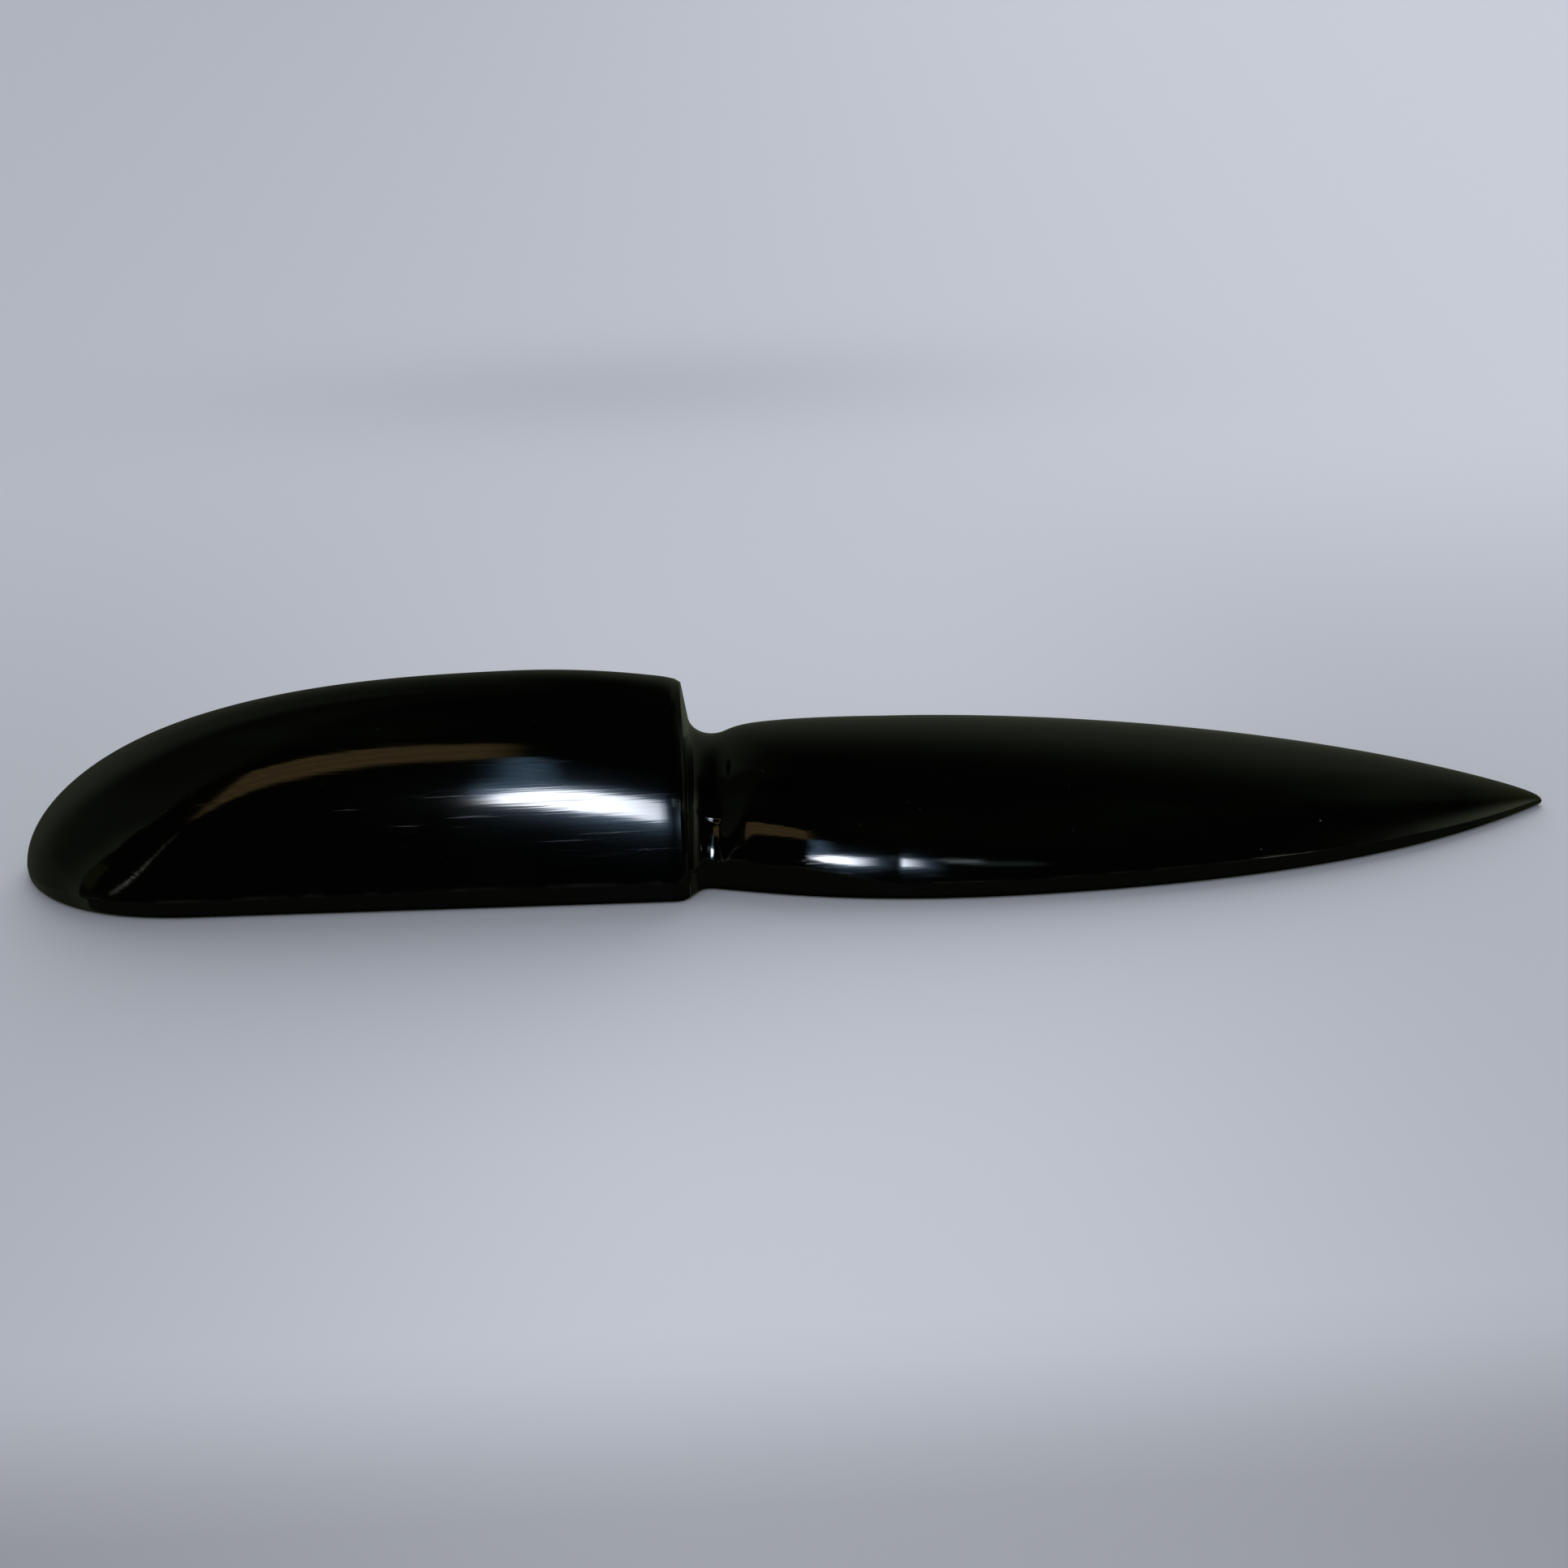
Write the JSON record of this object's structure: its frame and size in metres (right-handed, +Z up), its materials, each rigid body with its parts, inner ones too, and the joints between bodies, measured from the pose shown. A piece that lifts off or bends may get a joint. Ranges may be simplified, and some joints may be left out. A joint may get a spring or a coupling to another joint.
{
  "type": "stone facial massage wand",
  "caption": "Hand-held massage tool carved from polished dark stone, with a domed rounded grip, a waisted neck, a pointed leaf-shaped end and a flat underside.",
  "frame": {"origin": "on the flat underside, at the middle of the length and the width", "axes": "+X from the rounded grip to the pointed end, +Y to the far side, +Z up out of the domed top; it lies on its underside"},
  "size_m": [0.15, 0.0244, 0.0194],
  "materials": {
    "stone": "polished near-black jade"
  },
  "bodies": {
    "root": {"stone_wand": "stone"}
  },
  "joints": []
}
